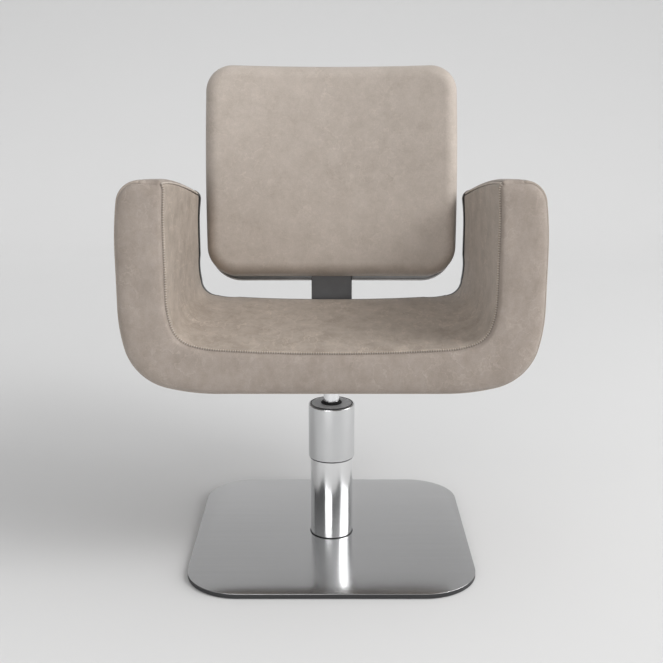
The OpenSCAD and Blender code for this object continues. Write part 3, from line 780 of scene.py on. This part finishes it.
def back_profile():
    """Pairs of inset and depth, from the cushion's rear edge round to the flat of its face."""
    profile = [(0.012, COVER_WRAP), (0.005, COVER_WRAP), (0.0015, COVER_WRAP - 0.0005),
               (0.0004, COVER_WRAP - 0.002)]
    for t in np.linspace(COVER_WRAP - 0.005, BACK_SEAM + 0.007, 7):
        bulge = 0.0014 * math.sin(math.pi * (t - BACK_SEAM) / (COVER_WRAP - BACK_SEAM))
        profile.append((-bulge, t))
    profile += [(inset, BACK_SEAM + off) for inset, off in
                ((-0.0004, 0.0035), (0.0, 0.0018), (0.0013, 0.0007), (0.0018, 0.0),
                 (0.0012, -0.0007), (0.0, -0.0018))]
    profile += [(BACK_EDGE_R * (1 - math.cos(a)), BACK_EDGE_R * (1 - math.sin(a)))
                for a in np.radians(np.linspace(8, 90, 12))]
    return profile + [(inset, 0.0) for inset in (0.0285, 0.031, 0.034, 0.038, 0.043, 0.049)]


def back_cushion():
    """Crowned cushion: a face, a rounded edge and a side band down to the shell."""
    rings = [(back_outline(inset), t) for inset, t in back_profile()]
    middle = np.array([0.0, BACK_H / 2])
    inner = rings[-1][0]
    rings += [(middle + (inner - middle) * f, 0.0) for f in np.linspace(1, 0.02, 44)[1:]]
    points = []
    for outline, t in rings:
        x, z = outline[:, 0], outline[:, 1]
        u = np.clip(np.abs(x) / BACK_HALF, 0, 1)
        v = np.clip(np.abs(z - BACK_H / 2) / (BACK_H / 2), 0, 1)
        crown = BACK_CROWN * (1 - u ** 4) * (1 - v ** 4)
        p = to_back(x, t - crown, z)
        if t < BACK_EDGE_R:
            p[:, 1] -= wrinkle(p, 1 - t / BACK_EDGE_R)
        points.append(p)
    grid = np.array(points)
    return make("back_cushion", [(grid, True)], "seat", leather_back_painted_light, solid=0,
                closed=True, extra=end_caps(grid, flip=True))


cushion = back_cushion()
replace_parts(cushion, "back_cover", "back_foam")


# ---- turned and pressed metal ----

def lathe(name, profile, body, mat, slot, *nodes, segments=144):
    """A closed profile of (radius, height) turned round the column's axis."""
    turns = np.linspace(0, 2 * math.pi, segments, endpoint=False)
    ring = np.array([[(r * math.sin(a), -r * math.cos(a), z) for a in turns]
                     for r, z in list(profile) + [profile[0]]])
    obj = make(name, [(ring, True)], body, mat, solid=0, closed=True)
    sharpen(obj)
    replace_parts(obj, *nodes)
    return obj


def sharpen(obj, degrees=32):
    """Smooth shading, broken at edges sharper than this."""
    mesh = obj.data
    mesh.shade_smooth()
    mesh.set_sharp_from_angle(angle=math.radians(degrees))


def rounded(points, radius, steps=4):
    """A closed outline with each corner rounded."""
    out, n = [], len(points)
    for i in range(n):
        p = np.array(points[i], float)
        a, b = np.array(points[i - 1], float) - p, np.array(points[(i + 1) % n], float) - p
        cut = min(radius, 0.45 * np.linalg.norm(a), 0.45 * np.linalg.norm(b))
        a, b = p + a / np.linalg.norm(a) * cut, p + b / np.linalg.norm(b) * cut
        for k in range(steps + 1):
            f = k / steps
            out.append(tuple((1 - f) ** 2 * a + 2 * f * (1 - f) * p + f * f * b))
    return out


def tube(node, r_in, edge=0.0004):
    """Profile of a plain ring at a CAD node's place."""
    low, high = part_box(node)
    return rounded([(r_in, low.z), (high.x, low.z), (high.x, high.z), (r_in, high.z)], edge)


upper_low, upper_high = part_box("upper_sleeve")
lower_low, lower_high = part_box("lower_sleeve")
UPPER_R, LOWER_R = upper_high.x, lower_high.x
COLUMN_TOP = upper_high.z
SLEEVE_T = 0.0015
EDGE_R = 0.0035             # rounding of the upper sleeve's top edge
SLOT_HALF = 0.021           # half the width of the rear slot that the pedal passes through
SLOT_H = 0.060
CAP_BORE = 0.0166
bend = [(UPPER_R - EDGE_R * (1 - math.cos(a)), COLUMN_TOP - EDGE_R * (1 - math.sin(a)))
        for a in np.radians(np.linspace(0, 90, 9))]
lathe("column_upper", [(UPPER_R - SLEEVE_T, upper_low.z), (UPPER_R - 0.0006, upper_low.z),
                       (UPPER_R, upper_low.z + 0.0006)] + bend
      + [(UPPER_R - EDGE_R, COLUMN_TOP - SLEEVE_T)], "base", satin, "chrome", "upper_sleeve")
lathe("column_cap", tube("top_cap", CAP_BORE), "base", cap_steel, "cap_steel", "top_cap")
lathe("column_cap_ring", tube("cap_ring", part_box("top_cap")[1].x, 0.0006), "base", rubber,
      "rubber", "cap_ring")

joint_low, joint_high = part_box("sleeve_ring")
# The black ring stands 1.7 mm proud of the lower sleeve and reaches 0.5 mm below the CAD ring, so
# that it shows as the dark line under the upper sleeve: a real guide ring, enlarged as painted
# shade under the sleeve's edge.
joint_in, joint_out = LOWER_R - SLEEVE_T, LOWER_R + 0.0017
lathe("column_joint_ring", rounded([
    (joint_in, joint_low.z - 0.0005), (joint_out, joint_low.z - 0.0005),
    (joint_out, joint_high.z), (joint_in, joint_high.z)], 0.0003),
    "base", rubber, "rubber", "sleeve_ring")

wiper_low, wiper_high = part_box("rod_wiper")
WIPER_IN, WIPER_FOOT = 0.01508, 0.0165
lathe("rod_wiper_ring", rounded([
    (WIPER_IN, wiper_low.z), (WIPER_FOOT, wiper_low.z), (WIPER_FOOT, COLUMN_TOP),
    (wiper_high.x, COLUMN_TOP), (wiper_high.x, COLUMN_TOP + 0.002), (0.0170, COLUMN_TOP + 0.0026),
    (0.0163, wiper_high.z), (WIPER_IN, wiper_high.z)], 0.0006), "base", rubber, "rubber",
    "rod_wiper")

ram_low, ram_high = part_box("ram")
RAM_R = ram_high.x
NECK_R, NECK_H = 0.00995, 0.015     # the ram's thinner lower end
lathe("ram_rod", rounded([(0, ram_low.z), (NECK_R, ram_low.z), (NECK_R, ram_low.z + NECK_H),
                          (RAM_R, ram_low.z + NECK_H), (RAM_R, ram_high.z), (0, ram_high.z)],
                         0.0008), "seat", chrome, "chrome", "ram")


def lower_sleeve():
    """Drawn tube with a slot at the rear for the pedal."""
    segments, slot_top, rim = 180, lower_low.z + SLOT_H, 0.0003
    turns = [2 * math.pi * i / segments for i in range(segments)]
    heights = [lower_low.z, lower_low.z + rim, slot_top - rim, slot_top, slot_top + rim,
               lower_high.z - rim, lower_high.z]
    vertices = [(LOWER_R * math.sin(a), -LOWER_R * math.cos(a), z) for z in heights for a in turns]
    quads = []
    for n, quad in enumerate(faces(len(heights), segments, closed=True)):
        row, i = divmod(n, segments)
        a = turns[i] + math.pi / segments
        at_slot = abs(LOWER_R * math.sin(a)) < SLOT_HALF and math.cos(a) < 0
        if not (at_slot and heights[row] < slot_top - rim / 2):
            quads.append(quad)
    mesh = bpy.data.meshes.new("column_lower")
    mesh.from_pydata(vertices, [], quads)
    obj = stand("column_lower", mesh, "base", drawn)
    thicken(obj, SLEEVE_T, even=True)
    sharpen(obj)
    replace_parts(obj, "lower_sleeve")


lower_sleeve()


def foot_gasket():
    """Black sealing cord round the column's foot, open at the rear where the pedal passes."""
    low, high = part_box("foot_gasket")
    half = 0.36 * (high.z - low.z)
    middle = LOWER_R + 0.8 * half
    gap = math.asin(SLOT_HALF / LOWER_R)
    turns = np.linspace(math.pi + gap, 3 * math.pi - gap, 150)
    grid = np.array([[(math.sin(a) * (middle + half * math.cos(b)),
                       -math.cos(a) * (middle + half * math.cos(b)),
                       low.z + half + half * math.sin(b))
                      for b in np.linspace(0, 2 * math.pi, 10, endpoint=False)] for a in turns])
    obj = make("foot_gasket_cord", [(grid, False)], "base", rubber, solid=0, closed=True,
               extra=end_caps(grid))
    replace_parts(obj, "foot_gasket")


foot_gasket()

PLATE_CORNER = 0.098


def plate(name, node, mat, edge, segments=16):
    """Square plate with rounded corners and softened edges, at a CAD plate's place."""
    low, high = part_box(node)
    centre = high.x - PLATE_CORNER

    def ring(inset, z):
        points = []
        for quadrant in range(4):
            facing = math.pi / 2 * (quadrant + 0.5)
            cx = math.copysign(centre, math.cos(facing))
            cy = math.copysign(centre, math.sin(facing))
            for i in range(segments + 1):
                a = math.pi / 2 * (quadrant + i / segments)
                points.append((cx + (PLATE_CORNER - inset) * math.cos(a),
                               cy + (PLATE_CORNER - inset) * math.sin(a), z))
        return points

    turns = [math.radians(a) for a in (0, 22, 45, 68, 90)]
    rings = [ring(edge * (1 - math.cos(a)), low.z + edge * (1 - math.sin(a))) for a in turns[::-1]]
    rings += [ring(edge * (1 - math.cos(a)), high.z - edge * (1 - math.sin(a))) for a in turns]
    grid = np.array(rings)
    obj = make(name, [(grid, False)], "base", mat, solid=0, closed=True,
               extra=end_caps(grid))
    sharpen(obj, 40)
    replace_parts(obj, node)


plate("floor_plate", "base_plate", plate_paint, 0.0008)
plate("floor_plate_skin", "base_skin", brushed, 0.00045)


# ---- CAD nodes that stay in view ----

FINISHES = {
    rubber: ["base_pads", "pedal_pad", "rod_seal", "piston_seal"],
    bolt_steel: ["base_bolts", "hub_bolts", "seat_bolts", "spine_bolts", "back_bolts",
                 "shell_screws", "pivot_pin", "roller_pin", "nose_roller", "pump_plunger",
                 "plunger_spring", "piston_head", "cylinder_tube"],
    casting: ["pump_foot", "pump_head", "seat_hub", "reservoir_tube"],
    bronze: ["guide_bush", "thrust_washer"],
    frame_paint: ["seat_plate", "spine"],
    chrome: ["pedal_lever"],
    ply: ["packer_bars", "seat_board", "corner_board_left", "corner_board_right",
          "arm_board_left", "arm_board_right", "back_board"],
    plastic: ["back_shell"],
}
BEVELS = {"back_shell": 0.0009, "spine": 0.0012, "seat_plate": 0.0008, "pedal_lever": 0.0012,
          "pedal_pad": 0.0015, "pump_foot": 0.0012, "seat_hub": 0.0010}


def finish(node, mat):
    """Material and softened edges on a CAD node, whose mesh stays as it is."""
    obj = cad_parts[node]
    obj.data.materials.clear()
    obj.data.materials.append(mat)
    weld = obj.modifiers.new("weld", "WELD")
    weld.merge_threshold = 1e-6
    if node in BEVELS:
        soften = obj.modifiers.new("bevel", "BEVEL")
        soften.width, soften.segments = BEVELS[node], 2
        soften.limit_method, soften.angle_limit = "ANGLE", math.radians(35)
        soften.harden_normals = False


for mat, nodes in FINISHES.items():
    for node in nodes:
        finish(node, mat)


# ---- studio ----

def cyclorama():
    """Pale floor that curves up into a wall far behind the chair."""
    radius, wall_y, top, front, half_width = 2.2, 5.2, 7.0, -7.0, 16.0
    profile = [(front, 0.0), (wall_y - radius, 0.0)]
    profile += [(wall_y - radius + radius * math.sin(a), radius * (1 - math.cos(a)))
                for a in np.radians(np.linspace(0, 90, 25))[1:]]
    profile.append((wall_y, top))
    vertices = [(x, y, z) for x in (-half_width, half_width) for y, z in profile]
    mesh = bpy.data.meshes.new("studio_floor")
    mesh.from_pydata(vertices, [], faces(2, len(profile), flip=True))
    mesh.shade_smooth()
    m, shader = material("studio_paper", (0.80, 0.80, 0.80), 0.8, Specular_IOR_Level=0.1)
    place, split = add(m, "ShaderNodeTexCoord"), add(m, "ShaderNodeSeparateXYZ")
    link(m, place.outputs["Object"], split.inputs["Vector"])
    # The paper goes from 0.69 on the floor to 0.80 on the wall, between 0.4 m and 3 m towards the
    # wall: painted shade on the floor.
    wall = add(m, "ShaderNodeMapRange")
    wall.inputs["From Min"].default_value, wall.inputs["From Max"].default_value = 0.4, 3.0
    link(m, split.outputs["Y"], wall.inputs["Value"])
    paper_painted_shade = ramp(m, wall.outputs["Result"], [(0.0, grey(0.69)), (1.0, grey(0.80))])
    uneven = ramp(m, grain(m, 3), [(0.3, grey(0.995)), (0.7, grey(1.0))])
    link(m, mix(m, paper_painted_shade, uneven, 1.0, "MULTIPLY"), shader.inputs["Base Color"])
    mesh.materials.append(m)
    obj = bpy.data.objects.new("studio_floor", mesh)
    bpy.context.scene.collection.objects.link(obj)


def lamp(name, kind, energy, way):
    """A light that shines along a way."""
    data = bpy.data.lights.new(name, kind)
    data.energy = energy
    obj = bpy.data.objects.new(name, data)
    bpy.context.scene.collection.objects.link(obj)
    obj.rotation_euler = Vector(way).to_track_quat("-Z", "Y").to_euler()
    return obj


def area_light(name, place, target, width, height, energy):
    """A rectangular soft box that faces a target."""
    obj = lamp(name, "AREA", energy, Vector(target) - Vector(place))
    obj.location = place
    obj.data.shape, obj.data.size, obj.data.size_y = "RECTANGLE", width, height


cyclorama()
area_light("key", (3.0, -1.9, 3.6), (0, 0, 0.5), 2.0, 2.0, 68)
area_light("strip_left", (-0.9, -3.05, 0.75), (0, 0, 0.1), 1.9, 1.1, 30)
area_light("strip_right", (3.0, -0.1, 0.75), (0, 0, 0.1), 1.8, 1.1, 20)
lamp("side", "SUN", 1.15, (-3.6, 1.2, -2.1)).data.angle = math.radians(44)


def studio_world():
    """An even bright dome whose lowest part is dark all round, as in a studio with black walls,
    and which dims towards its left side."""
    world = bpy.data.worlds.new("studio")
    bpy.context.scene.world = world
    world.use_nodes = True
    background = world.node_tree.nodes["Background"]
    place = add(world, "ShaderNodeTexCoord")
    split = add(world, "ShaderNodeSeparateXYZ")
    link(world, place.outputs["Generated"], split.inputs["Vector"])
    height = ramp(world, split.outputs["Z"], [(0.0, grey(0.02)), (0.23, grey(0.07)),
                                              (0.48, grey(0.70)), (1.0, grey(0.74))])
    across = add(world, "ShaderNodeMapRange")
    across.inputs["From Min"].default_value = -1.0
    link(world, split.outputs["X"], across.inputs["Value"])
    side = ramp(world, across.outputs["Result"], [(0.15, grey(0.48)), (0.85, grey(1.0))])
    link(world, mix(world, height, side, 1.0, "MULTIPLY"), background.inputs["Color"])
    background.inputs["Strength"].default_value = 1.29


studio_world()


# ---- camera ----

CAMERA_H = 0.9000
CAMERA_AWAY = 1.9257
CAMERA_DOWN = 14.25         # degrees below level

camera = bpy.data.cameras.new("camera")
camera.lens, camera.sensor_width = 57.79, 36
view = bpy.data.objects.new("camera", camera)
bpy.context.scene.collection.objects.link(view)
view.location = (0, -CAMERA_AWAY, CAMERA_H)
view.rotation_euler = (math.radians(90 - CAMERA_DOWN), 0, 0)
bpy.context.scene.camera = view
bpy.context.scene.view_settings.view_transform = "Standard"
